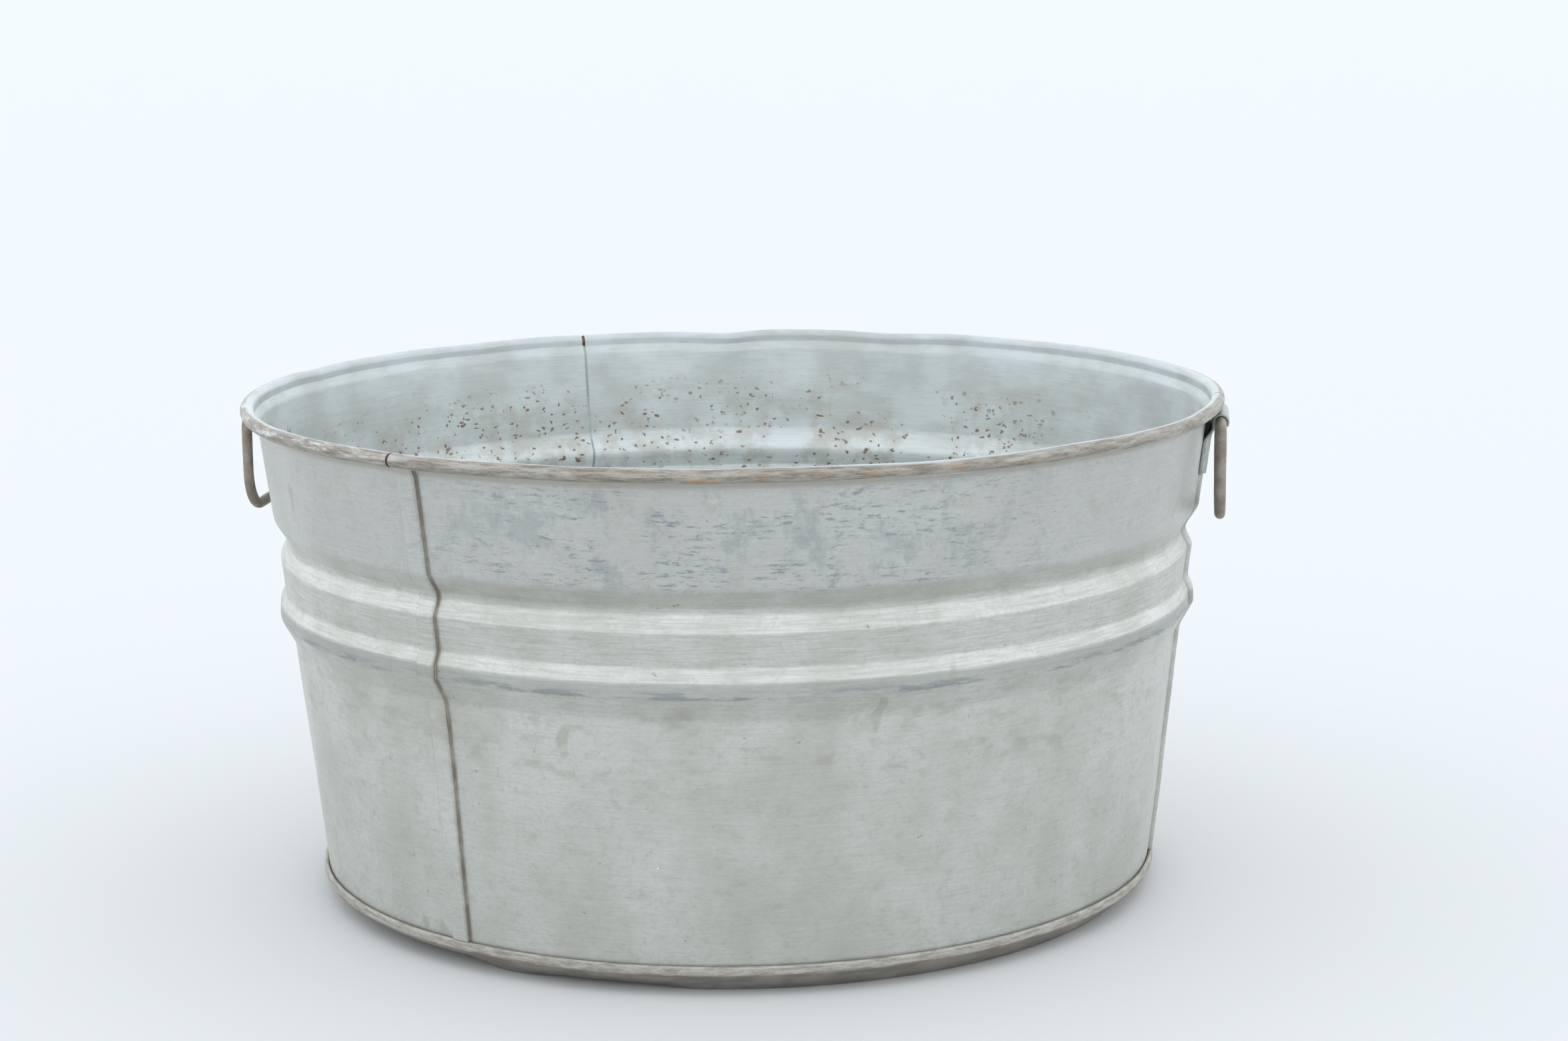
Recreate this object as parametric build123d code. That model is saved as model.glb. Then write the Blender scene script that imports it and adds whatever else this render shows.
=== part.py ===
"""A round galvanised wash tub with a wired rim and two drop handles.

Millimetres, +Z up. The origin is the centre of the footprint, on the floor.
The handles hang at +X and -X. The body is three sheets joined by upright lock
seams, and the bottom pan is double seamed round their lower edge.

Sections are drawn in the XZ plane, as (radius, height), and turned about Z.
"""
import os
from math import degrees
from build123d import *

# Sheet and wire
SHEET = 0.75
LAP_GAP = 0.10
LAYER = SHEET + LAP_GAP
WIRE_RADIUS = 3.175

# The wired rim: the sheet goes out and round the rim wire
RIM_RADIUS = 290.0
RIM_HEIGHT = 294.0
ROLL_RADIUS = WIRE_RADIUS + LAP_GAP
ROLL_TURN = 290.0
WALL_TOP_RADIUS = RIM_RADIUS - ROLL_RADIUS

# The foot of the wall, and the double seam that folds up against it
FOOT_RADIUS = 251.3
FOOT_HEIGHT = 13.5
FLANGE_OFFSET = 1.925
FLANGE_TOP = 16.1
HEM_OFFSET = FLANGE_OFFSET + LAYER
TUCK_OFFSET = FLANGE_OFFSET - LAYER
TUCK_FOOT = 13.9
FOLD_RADIUS = LAYER - 0.01

# The bottom pan
PAN_RING_RADIUS = 240.0
PAN_PANEL_RADIUS = 216.0
PAN_PANEL_RISE = 2.6
PAN_SLOPE_TOP = 12.2

# The upright lock seams between the three sheets
PANEL_TURN = 120.0
SEAM_FOOT = 18.8
SEAM_TOP = 284.5
SEAM_RADIUS = 270.0
SEAM_WIDTH = 11.5
FOLD_WIDTH = 0.9
SEAM_PLAY = 0.35
ROLL_BUTT = 1.5

# Drop handles: a ring of round rod that hangs from its straight top bar
ROD_RADIUS = 3.175
PIVOT_RADIUS = 291.8
PIVOT_HEIGHT = 283.0
RING_DROP = 56.0
RING_HALF_WIDTH = 37.0
RING_TOP_BEND = 8.0
RING_BOTTOM_BEND = 24.0

# Handle brackets: a riveted plate, curled over the handle's top bar
PLATE = 1.3
PIVOT_PLAY = 0.35
CURL_RADIUS = ROD_RADIUS + PIVOT_PLAY + PLATE / 2
CURL_TURN = 215.0
PLATE_HALF_WIDTH = 24.0
PLATE_CORNER = 9.0
PLATE_FOOT = 250.0
PLATE_BEND = 273.0
LEG_FOOT = 279.0
PAD_OFFSET = 0.15 + PLATE / 2
CHANNEL_OFFSET = 2.75 + PLATE / 2
CHANNEL_HALF_WIDTH = 9.5
BEND_RADIUS = 2.0

# Rivets through the pads of each bracket
RIVET_RADIUS = 2.4
RIVET_PLAY = 0.05
RIVET_HEAD_RADIUS = 4.4
RIVET_HEAD_RISE = 1.6
RIVET_TAIL_RADIUS = 3.6
RIVET_TAIL_RISE = 1.0
RIVET_SPREAD = 16.0
RIVET_HEIGHTS = (256.0, 267.0)
RIVET_HEAD_SEAT = 1.5
RIVET_TAIL_SEAT = -1.6

# Corners of the wall's outer face: (radius, height, bend radius)
WALL_CORNERS = (
    (267.1, 158.0, 10.0),
    (274.9, 172.0, 3.0),
    (274.5, 180.0, 3.0),
    (271.4, 187.0, 6.0),
    (273.6, 206.5, 3.5),
    (268.2, 217.0, 8.0),
    (276.8, 230.0, 9.0),
    (284.2, 285.5, 8.0),
    (WALL_TOP_RADIUS, 290.5, 3.0),
)
BAND_FOOT = Vector(*WALL_CORNERS[6][:2])
BAND_TOP = Vector(*WALL_CORNERS[7][:2])


def turn_of(length, radius=SEAM_RADIUS):
    """The turn about the tub's axis that covers a length of the wall."""
    return degrees(length / radius)


def spin(section, start, turn):
    """Stands a section up in the XZ plane and turns it about the tub's axis."""
    return Rot(0, 0, start) * revolve(Plane.XZ * section, Axis.Z, turn)


def wall_line(foot, top):
    """The outer face of the wall as a line between two heights."""
    corners = [(FOOT_RADIUS, FOOT_HEIGHT)]
    corners += [(radius, height) for radius, height, bend in WALL_CORNERS]
    corners += [(WALL_TOP_RADIUS, RIM_HEIGHT)]
    outline = FilletPolyline(*corners, radius=[bend for radius, height, bend in WALL_CORNERS])
    window = Pos(RIM_RADIUS, (foot + top) / 2) * Rectangle(RIM_RADIUS, top - foot)
    return Wire((outline & window).edges())


def wall_strip(first_layer, last_layer, foot=SEAM_FOOT, top=SEAM_TOP):
    """The section of the wall from one layer of a seam to another."""
    line = wall_line(foot, top)
    inner = Pos(first_layer * LAYER - SHEET, 0) * line
    outer = Pos(last_layer * LAYER, 0) * line
    ends = [Line(inner @ 0, outer @ 0), Line(inner @ 1, outer @ 1)]
    return make_face(inner.edges() + outer.edges() + ends)


def flange_section():
    """The foot of the wall, bent out and up to be held in the double seam."""
    bend = (FLANGE_OFFSET + SHEET / 2) / 2
    inside = FOOT_RADIUS - SHEET / 2
    under = CenterArc((inside + bend, FOOT_HEIGHT), bend, 180, 180)
    upright = Line(under @ 1, (inside + 2 * bend, FLANGE_TOP))
    return trace([under, upright], SHEET)


def roll_section():
    """The rolled rim, from the top of the wall out and round the wire."""
    return trace(CenterArc((RIM_RADIUS, RIM_HEIGHT), ROLL_RADIUS + SHEET / 2, 180, -ROLL_TURN), SHEET)


def wall_panel(start):
    """One body sheet, from the seam at start to the next one along.

    Its first edge runs under that seam and folds back once. Its last edge
    steps out over the next seam and folds under.
    """
    half = turn_of(SEAM_WIDTH / 2)
    fold = turn_of(FOLD_WIDTH)
    play = turn_of(SEAM_PLAY)
    butt = turn_of(ROLL_BUTT, RIM_RADIUS)
    first = start - half
    last = first + PANEL_TURN
    sheet = spin(wall_strip(0, 0, FOOT_HEIGHT, RIM_HEIGHT), first, PANEL_TURN - play)
    sheet += spin(flange_section(), first, PANEL_TURN - play)
    sheet += spin(roll_section(), first + butt, PANEL_TURN - 2 * butt)
    sheet += spin(wall_strip(0, 2), first, fold)
    sheet += spin(wall_strip(2, 2), first, 2 * (half - fold - play))
    sheet += spin(wall_strip(0, 3), last - play - fold, fold)
    sheet += spin(wall_strip(3, 3), last - play - fold, 2 * half + play + fold)
    sheet += spin(wall_strip(1, 3), last + 2 * half - fold, fold)
    sheet += spin(wall_strip(1, 1), last + fold + play, 2 * half - fold - play)
    for side in (0, 180):
        sheet -= Rot(0, 0, side) * rivet_group(RIVET_PLAY)
    return sheet


def bottom_pan():
    """The bottom: a raised panel, a floor ring, a slope, and a hem on the flange."""
    hem = FOOT_RADIUS + HEM_OFFSET
    tuck = FOOT_RADIUS + TUCK_OFFSET
    floor = SHEET / 2
    hem_top = FLANGE_TOP + FOLD_RADIUS
    corners = (
        (0, PAN_PANEL_RISE + floor),
        (PAN_PANEL_RADIUS - 2 * PAN_PANEL_RISE, PAN_PANEL_RISE + floor),
        (PAN_PANEL_RADIUS, floor),
        (PAN_RING_RADIUS, floor),
        (hem, PAN_SLOPE_TOP),
        (hem, hem_top),
        (tuck, hem_top),
        (tuck, TUCK_FOOT),
    )
    bends = [8.0, 8.0, 4.0, 2.0, FOLD_RADIUS, FOLD_RADIUS]
    return spin(trace(FilletPolyline(*corners, radius=bends), SHEET), 0, 360)


def rim_wire():
    """The wire inside the rolled rim."""
    return spin(Pos(RIM_RADIUS, RIM_HEIGHT) * Circle(WIRE_RADIUS), 0, 360)


def drop_handle():
    """One handle, hanging at +X: its path is closed and lies in a YZ plane."""
    top = PIVOT_HEIGHT
    foot = PIVOT_HEIGHT - RING_DROP
    side = RING_HALF_WIDTH
    corners = (-side, top), (-side, foot), (side, foot), (side, top)
    ring = Polyline(*corners, close=True)
    ring = make_face(ring.edges())
    ring = fillet([v for v in ring.vertices() if v.Y > foot + 1], RING_TOP_BEND)
    ring = fillet([v for v in ring.vertices() if v.Y < foot + 1], RING_BOTTOM_BEND)
    path = Pos(PIVOT_RADIUS, 0, 0) * (Plane.YZ * ring).face().outer_wire()
    rod = Plane(path @ 0, z_dir=path % 0) * Circle(ROD_RADIUS)
    return sweep(rod, path)


def band_point(height, offset):
    """A point off the outer face of the band that the brackets sit on."""
    share = (height - BAND_FOOT.Y) / (BAND_TOP.Y - BAND_FOOT.Y)
    point = BAND_FOOT + (BAND_TOP - BAND_FOOT) * share
    return (point.X + offset, height)


def leg_corners(offset, shift=0.0):
    """Corners of the plate from its foot up to the curl, at an offset from the wall."""
    leg = PIVOT_RADIUS - CURL_RADIUS + shift
    wall_side = [band_point(PLATE_FOOT, offset + shift), band_point(PLATE_BEND, offset + shift)]
    return wall_side + [(leg, LEG_FOOT), (leg, PIVOT_HEIGHT)]


def leg_section(offset):
    """The section of the plate from its foot up to the curl."""
    return trace(FilletPolyline(*leg_corners(offset), radius=BEND_RADIUS), PLATE)


def bracket_slice(section, near, far):
    """A stretch of the bracket between two distances from its middle."""
    return Pos(0, far, 0) * extrude(Plane.XZ * section, amount=far - near)


def bracket():
    """One handle bracket at +X: two riveted pads, a raised channel and the curl.

    The channel stands clear of a lock seam that runs up behind the bracket.
    """
    curl = CenterArc((PIVOT_RADIUS, PIVOT_HEIGHT), CURL_RADIUS, 180, -CURL_TURN)
    pad = leg_section(PAD_OFFSET)
    channel = leg_section(CHANNEL_OFFSET)
    back = leg_corners(PAD_OFFSET, -PLATE / 2)
    front = leg_corners(CHANNEL_OFFSET, PLATE / 2)
    riser = make_face(Polyline(*back, *reversed(front), close=True).edges())
    inner = CHANNEL_HALF_WIDTH - PLATE
    plate = bracket_slice(trace(curl, PLATE), -PLATE_HALF_WIDTH, PLATE_HALF_WIDTH)
    plate += bracket_slice(channel, -CHANNEL_HALF_WIDTH, CHANNEL_HALF_WIDTH)
    for near, far in ((inner, PLATE_HALF_WIDTH), (-PLATE_HALF_WIDTH, -inner)):
        plate += bracket_slice(pad, near, far)
    for near, far in ((inner, CHANNEL_HALF_WIDTH), (-CHANNEL_HALF_WIDTH, -inner)):
        plate += bracket_slice(riser, near, far)
    tall = RIM_HEIGHT - PLATE_FOOT
    outline = Pos(0, PLATE_FOOT + tall / 2) * Rectangle(2 * PLATE_HALF_WIDTH, tall)
    outline = fillet(outline.vertices().sort_by(Axis.Y)[:2], PLATE_CORNER)
    plate &= extrude(Plane.YZ * outline, amount=RIM_RADIUS + 10)
    return plate - rivet_group(RIVET_PLAY)


def rivet(play):
    """One rivet along +Z, its head above the bracket, its tail inside the wall."""
    shank_length = RIVET_HEAD_SEAT - RIVET_TAIL_SEAT + RIVET_TAIL_RISE
    low = (Align.CENTER, Align.CENTER, Align.MIN)
    shank = Cylinder(RIVET_RADIUS + play, shank_length, align=low)
    shank = Pos(0, 0, RIVET_TAIL_SEAT - RIVET_TAIL_RISE) * shank
    if play:
        return shank
    ball_radius = (RIVET_HEAD_RADIUS**2 + RIVET_HEAD_RISE**2) / (2 * RIVET_HEAD_RISE)
    dome = Pos(0, 0, RIVET_HEAD_RISE - ball_radius) * Sphere(ball_radius)
    dome &= Cylinder(RIVET_HEAD_RADIUS, RIVET_HEAD_RISE, align=low)
    tail = Cylinder(RIVET_TAIL_RADIUS, RIVET_TAIL_RISE, align=low)
    shank += Pos(0, 0, RIVET_HEAD_SEAT) * dome
    return shank + Pos(0, 0, RIVET_TAIL_SEAT - RIVET_TAIL_RISE) * tail


def rivet_group(play=0.0):
    """The four rivets of the bracket at +X, or their holes where play is given."""
    lean = BAND_TOP - BAND_FOOT
    rivets = []
    for height in RIVET_HEIGHTS:
        radius, level = band_point(height, 0)
        for side in (-RIVET_SPREAD, RIVET_SPREAD):
            seat = Plane((radius, side, level), x_dir=(0, 1, 0), z_dir=(lean.Y, 0, -lean.X))
            rivets.append(seat * rivet(play))
    return Compound(children=[r.solid() for r in rivets])


def write(name, shape):
    """Saves one piece under its own name."""
    export_step(shape, f"parts/{name}.step")
    print(f"{name}: {shape.volume:.0f} mm3, valid {shape.is_valid}")


os.makedirs("parts", exist_ok=True)
for number, name in enumerate(("rear", "left", "front")):
    write(f"wall_panel_{name}", wall_panel(number * PANEL_TURN))
write("bottom_pan", bottom_pan())
write("rim_wire", rim_wire())
for side, turn in (("right", 0), ("left", 180)):
    write(f"{side}_drop_handle", Rot(0, 0, turn) * drop_handle())
    write(f"{side}_bracket", Rot(0, 0, turn) * bracket())
    write(f"{side}_rivets", Rot(0, 0, turn) * rivet_group())
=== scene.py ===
# %% [markdown]
# # An old galvanised wash tub
#
# This lesson dresses a finished design, a round wash tub of dipped sheet steel
# with two drop handles. The design fixes every size and joint. What is made here
# is what the eye sees: thin rolled sheet with its seams, the dents of long use,
# bent rod, riveted brackets, and the dull finishes of old zinc and rust.

# %% Load the frame
import math
import bmesh
import bpy
from mathutils import Matrix, Vector, noise


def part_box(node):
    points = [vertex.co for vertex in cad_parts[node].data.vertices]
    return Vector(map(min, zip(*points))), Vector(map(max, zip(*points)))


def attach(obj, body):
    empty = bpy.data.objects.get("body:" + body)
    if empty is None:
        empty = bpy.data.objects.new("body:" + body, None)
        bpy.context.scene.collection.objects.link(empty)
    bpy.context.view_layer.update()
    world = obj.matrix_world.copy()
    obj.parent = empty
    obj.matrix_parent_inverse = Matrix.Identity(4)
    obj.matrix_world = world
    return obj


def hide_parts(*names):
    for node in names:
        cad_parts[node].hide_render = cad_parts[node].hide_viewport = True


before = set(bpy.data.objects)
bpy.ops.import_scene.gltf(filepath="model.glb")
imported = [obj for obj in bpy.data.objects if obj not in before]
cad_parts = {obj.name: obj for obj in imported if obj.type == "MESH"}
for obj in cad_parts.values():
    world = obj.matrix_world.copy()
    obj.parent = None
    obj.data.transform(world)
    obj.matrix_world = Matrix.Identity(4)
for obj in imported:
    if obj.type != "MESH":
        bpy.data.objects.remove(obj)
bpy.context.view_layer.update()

# %% [markdown]

# %% [markdown]
# ## Sizes
#
# A tub is drawn once, as a line from its foot to its rim, and turned about its
# middle. The same few sizes that the design was drawn with shape it again here.
# The wire, the rods and the pivots are read from the frame, so they can't drift.

# %% Sizes of the sheet, the rim, the foot and the seams
MM = 0.001
ROUNDING = 0.01 * MM
SHEET = 0.75 * MM
PLAY = 0.10 * MM
LAYER = SHEET + PLAY

wire_low, wire_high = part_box("rim_wire")
WIRE = (wire_high[2] - wire_low[2]) / 2
RIM_R = wire_high[0] - WIRE
RIM_Z = wire_high[2] - WIRE
ROLL = WIRE + PLAY + SHEET / 2
ROLL_TURN = math.radians(290)

FOOT_R = 251.3 * MM
FOOT_Z = 13.5 * MM
FLANGE = 1.925 * MM
FLANGE_TOP = 16.1 * MM
FOLD_TIGHTNESS = 0.98  # a fold back on itself turns a shade tighter than its gap
SEAM_FOOT = 17.6 * MM
SEAM_TOPS = (284.5 * MM, 290.3 * MM, 290.3 * MM)
SEAM_R = 270.0 * MM
SEAM_WIDTH = 11.5 * MM

# Corners of the wall's outer face, as radius, height and bend in millimetres:
# the lower rib, the hollow, the upper rib, the groove, the band and the neck.
WALL_CORNERS = (
    (267.1, 158.0, 10.0),
    (274.9, 172.0, 3.0),
    (274.5, 180.0, 3.0),
    (271.4, 187.0, 6.0),
    (273.6, 206.5, 3.5),
    (268.2, 217.0, 8.0),
    (276.8, 230.0, 9.0),
    (284.2, 285.5, 8.0),
    (286.725, 290.5, 3.0),
)
BAND_FOOT = Vector(WALL_CORNERS[6][:2]) * MM
BAND_TOP = Vector(WALL_CORNERS[7][:2]) * MM
print("rim radius", round(RIM_R, 4), "rim height", round(RIM_Z, 4))

# %% [markdown]
# ## Lines with bends
#
# Sheet is never folded sharp: each corner of a pressed section is an arc. This
# helper takes corners with their bend radii and gives the points of the line,
# with short steps on the straights too, so that dents have something to move.

# %% A line whose corners are arcs
STRAIGHT_STEP = 5.0 * MM
ARC_STEP = math.radians(12)


def rounded(corners):
    """Points along a line through (x, z, bend radius) corners."""
    line = [Vector(corners[0][:2])]
    for before, corner, after in zip(corners, corners[1:], corners[2:]):
        here = Vector(corner[:2])
        into = (here - Vector(before[:2])).normalized()
        out = (Vector(after[:2]) - here).normalized()
        turn = math.atan2(into.x * out.y - into.y * out.x, into.dot(out))
        start = here - into * corner[2] * math.tan(abs(turn) / 2)
        side = math.copysign(corner[2], turn)
        centre = start + Vector((-into.y, into.x)) * side
        steps = max(2, math.ceil(abs(turn) / ARC_STEP))
        arm = start - centre
        for k in range(steps + 1):
            line.append(centre + Matrix.Rotation(turn * k / steps, 2) @ arm)
    line.append(Vector(corners[-1][:2]))
    points = line[:1]
    for near, far in zip(line, line[1:]):
        steps = math.ceil((far - near).length / STRAIGHT_STEP)
        points += [near.lerp(far, (k + 1) / steps) for k in range(steps)]
    return points


def arc(x, z, radius, start, turn, steps):
    """Points of an arc, without its first one."""
    angles = [start + turn * (k + 1) / steps for k in range(steps)]
    return [Vector((x + radius * math.cos(a), z + radius * math.sin(a))) for a in angles]


def smooth(value, low, high):
    """0 below low, 1 above high, and an easy slope between."""
    t = min(1.0, max(0.0, (value - low) / (high - low)))
    return t * t * (3 - 2 * t)


# %% [markdown]
# ## The tub's age
#
# Sheet this thin doesn't stay round. The wall waves gently between the ribs, the
# rim has been knocked down and in at places, and the foot has flats where it was
# dropped. One function moves any point of the tub, so every piece that touches
# another is dented with it. Beside the brackets it fades out, because the handles
# still have to swing there.

# %% One function that ages every point of the tub
# Knocks, as angle in degrees, half width in degrees, height and half height in
# millimetres, then how far in and how far down in millimetres. A knock from the
# inside has a negative push.
KNOCKS = (
    (108.0, 5.0, 296.0, 18.0, -1.1, 0.6),
    (98.7, 4.5, 296.0, 22.0, 2.2, 2.1),
    (76.0, 6.0, 296.0, 30.0, 2.0, 1.2),
    (-60.0, 9.0, 296.0, 20.0, 1.2, 1.0),
    (-118.0, 8.0, 120.0, 60.0, 1.6, 0.0),
    (-62.0, 12.0, 95.0, 50.0, 1.4, 0.0),
    (28.0, 10.0, 110.0, 55.0, 1.8, 0.0),
    (150.0, 9.0, 90.0, 45.0, 2.0, 0.0),
    (-150.0, 7.0, 245.0, 30.0, 1.2, 0.0),
)

# Where the edge of the floor ring has been knocked up, as two angles in degrees
# and the height it was lifted by in millimetres.
LIFTS = ((-108.0, -93.0, 2.4), (-152.0, -120.0, 4.2), (25.0, 60.0, 2.0))

# The handles swing where the wall is this near the XZ plane, and above this height.
HANDLE_REACH = (45 * MM, 85 * MM)
HANDLE_HEIGHT = (195 * MM, 225 * MM)


def aged(point):
    """Where a point of the new tub has moved to on the old one."""
    x, y, z = point
    out = Vector((x, y, 0)).normalized()
    beside = 1 - smooth(abs(y), *HANDLE_REACH)
    calm = 1 - beside * smooth(z, *HANDLE_HEIGHT)
    slow = noise.noise(Vector((out.x * 2.6, out.y * 2.6, z * 9.0)))
    quick = noise.noise(Vector((out.x * 9.0, out.y * 9.0, z * 26.0 + 7.0)))
    radial = (0.75 * slow + 0.3 * quick - 0.15) * smooth(z, 0.0, 20 * MM)
    at_rim = smooth(z, 270 * MM, 292 * MM)
    fall = at_rim * (0.55 + 0.6 * noise.noise(Vector((out.x * 6.0, out.y * 6.0, 3.0))))
    angle = math.degrees(math.atan2(y, x))
    for at, width, height, tall, push, drop in KNOCKS:
        round_by = (angle - at + 180) % 360 - 180
        felt = math.exp(-((round_by / width) ** 2) - ((z / MM - height) / tall) ** 2)
        radial -= push * felt
        fall += drop * felt * at_rim
    edge = smooth(math.hypot(x, y), 226 * MM, 239 * MM) * (1 - smooth(z, 2 * MM, 10 * MM))
    lift = 0.0
    for start, end, rise in LIFTS:
        lift += rise * edge * smooth(angle, start - 7, start + 3) * (1 - smooth(angle, end - 3, end + 7))
    up = Vector((0, 0, lift - fall * calm))
    return Vector(point) + (out * radial * calm + up) * MM


# %% [markdown]
# ## From bmesh to a piece
#
# Every piece is made the same way at the end: its points are aged unless it is a
# handle, bracket or rivet, its faces are smoothed, and it is tied to the body that carries it.

# %% Helpers that turn a bmesh into a piece
def keep(bm, name, body, nodes):
    """Makes the bmesh a piece that rides on a body and stands for CAD nodes."""
    mesh = bpy.data.meshes.new(name)
    for face in bm.faces:
        face.smooth = True
    bm.to_mesh(mesh)
    bm.free()
    piece = bpy.data.objects.new(name, mesh)
    bpy.context.scene.collection.objects.link(piece)
    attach(piece, body)
    if nodes:
        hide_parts(*nodes)
    print(name, len(mesh.polygons), "faces")
    return piece


def thicken(piece, thickness, finishes=1):
    """Gives a sheet its thickness, half to each side; with two finishes the inner face takes the second."""
    wall = piece.modifiers.new("thickness", "SOLIDIFY")
    wall.thickness = thickness
    wall.offset = 0
    wall.material_offset = finishes - 1
    shade = piece.modifiers.new("shading", "WEIGHTED_NORMAL")
    shade.keep_sharp = True


def age(bm):
    """Dents every point of a bmesh."""
    for vert in bm.verts:
        vert.co = aged(vert.co)


def face_outwards(bm, probe):
    """Turns an open sheet's faces so that the one nearest the probe looks towards it."""
    bmesh.ops.recalc_face_normals(bm, faces=bm.faces)
    probe = Vector(probe)
    nearest = min(bm.faces, key=lambda face: (face.calc_center_median() - probe).length)
    if nearest.normal.dot(probe - nearest.calc_center_median()) < 0:
        bmesh.ops.reverse_faces(bm, faces=bm.faces)


def new_part(made, kind):
    """The vertices or edges among what an operator returned."""
    return [item for item in made if isinstance(item, kind)]


# %% [markdown]
# ## The wall panels
#
# The body is three sheets. Each was pressed with the ribs, hooked to its
# neighbours, and its top edge rolled round the rim wire. A panel is one upright
# line, spun a third of a turn with the spin operator. The ends then go on by
# extruding the last column of edges: outwards over the neighbour and under for
# one end, back on itself for the other. That makes a real lock seam, with a soft
# step on one side of it and a dark crack on the other, instead of a drawn one.

# %% The upright line of the wall
ROLL_STEPS = 22


def wall_path():
    """Half way through the sheet: flange, foot, ribs, neck, and round the wire."""
    inside = FOOT_R - SHEET / 2
    outside = FOOT_R + FLANGE
    bend = (outside - inside) / 2
    low = FOOT_Z - bend
    first_corner = Vector(WALL_CORNERS[0][:2]) * MM
    foot = Vector((FOOT_R, FOOT_Z))
    seam_foot = foot.lerp(first_corner, (SEAM_FOOT - FOOT_Z) / (first_corner.y - FOOT_Z))
    seam_foot.x -= SHEET / 2
    fold = bend * FOLD_TIGHTNESS
    hook = [(outside, FLANGE_TOP), (outside, low, fold), (inside, low, fold), seam_foot]
    corners = [seam_foot]
    corners += [(r * MM - SHEET / 2, z * MM, b * MM) for r, z, b in WALL_CORNERS]
    corners += [(RIM_R - ROLL, RIM_Z)]
    round_wire = arc(RIM_R, RIM_Z, ROLL, math.pi, -ROLL_TURN, ROLL_STEPS)
    return rounded(hook) + rounded(corners)[1:] + round_wire


def stand(bm, path, angle):
    """Stands a line up as a chain of edges at an angle round the tub."""
    c, s = math.cos(angle), math.sin(angle)
    verts = [bm.verts.new((p.x * c, p.x * s, p.y)) for p in path]
    return [bm.edges.new(pair) for pair in zip(verts, verts[1:])]


print("points up the wall:", len(wall_path()))

# %% The lock seam
SEAM_START = -2.4 * MM
STEP_START = -1.3 * MM
STEP_WIDTH = 1.4 * MM
HOOK_START = 0.95 * MM
FOLD = LAYER
FOLD_STEPS = 6


def seam_over():
    """The end that steps out over the seam and folds under, as (along, out)."""
    steps = [(STEP_START, 0.0)]
    steps += [(STEP_START + STEP_WIDTH * k / 4, 3 * LAYER * smooth(k, 0, 4)) for k in range(1, 5)]
    edge = SEAM_WIDTH - SHEET / 2 - FOLD
    steps += [(edge * k / 4, 3 * LAYER) for k in range(1, 5)]
    for k in range(1, FOLD_STEPS + 1):
        a = math.pi * k / FOLD_STEPS
        steps.append((edge + FOLD * math.sin(a), 2 * LAYER + FOLD * math.cos(a)))
    return steps + [(8 * MM, LAYER), (5 * MM, LAYER)]


def seam_hook():
    """The end that folds back on itself inside the seam, as (along, out)."""
    steps = []
    for k in range(1, FOLD_STEPS + 1):
        a = math.pi * k / FOLD_STEPS
        steps.append((HOOK_START - FOLD * math.sin(a), LAYER - FOLD * math.cos(a)))
    return steps + [(4 * MM, 2 * LAYER), (8 * MM, 2 * LAYER)]


def extend(bm, edges, turn, angle, out):
    """Extrudes a column of edges round the tub by a turn, and outwards there."""
    made = bmesh.ops.extrude_edge_only(bm, edges=edges)["geom"]
    verts = new_part(made, bmesh.types.BMVert)
    bmesh.ops.rotate(bm, verts=verts, cent=(0, 0, 0), matrix=Matrix.Rotation(turn, 3, "Z"))
    direction = Vector((math.cos(angle), math.sin(angle), 0))
    bmesh.ops.translate(bm, verts=verts, vec=direction * out)
    kept = set(verts)
    return [e for e in new_part(made, bmesh.types.BMEdge) if kept.issuperset(e.verts)]


def follow(bm, edges, steps, seam_angle, start):
    """Extends a column along the steps of a seam."""
    along, out = start, 0.0
    for next_along, next_out in steps:
        turn = (next_along - along) / SEAM_R
        edges = extend(bm, edges, turn, seam_angle + next_along / SEAM_R, next_out - out)
        along, out = next_along, next_out


# %% Build the three panels
COLUMN_STEP = 3.4 * MM
BUTT_OF_END = -0.3 * MM
BUTT_OF_START = 0.05 * MM
ROLL_BUTT = -1.0 * MM


def between(edges, low, high):
    """The edges whose middle lies between two heights."""
    return [e for e in edges if low <= (e.verts[0].co.z + e.verts[1].co.z) / 2 < high]


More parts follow.
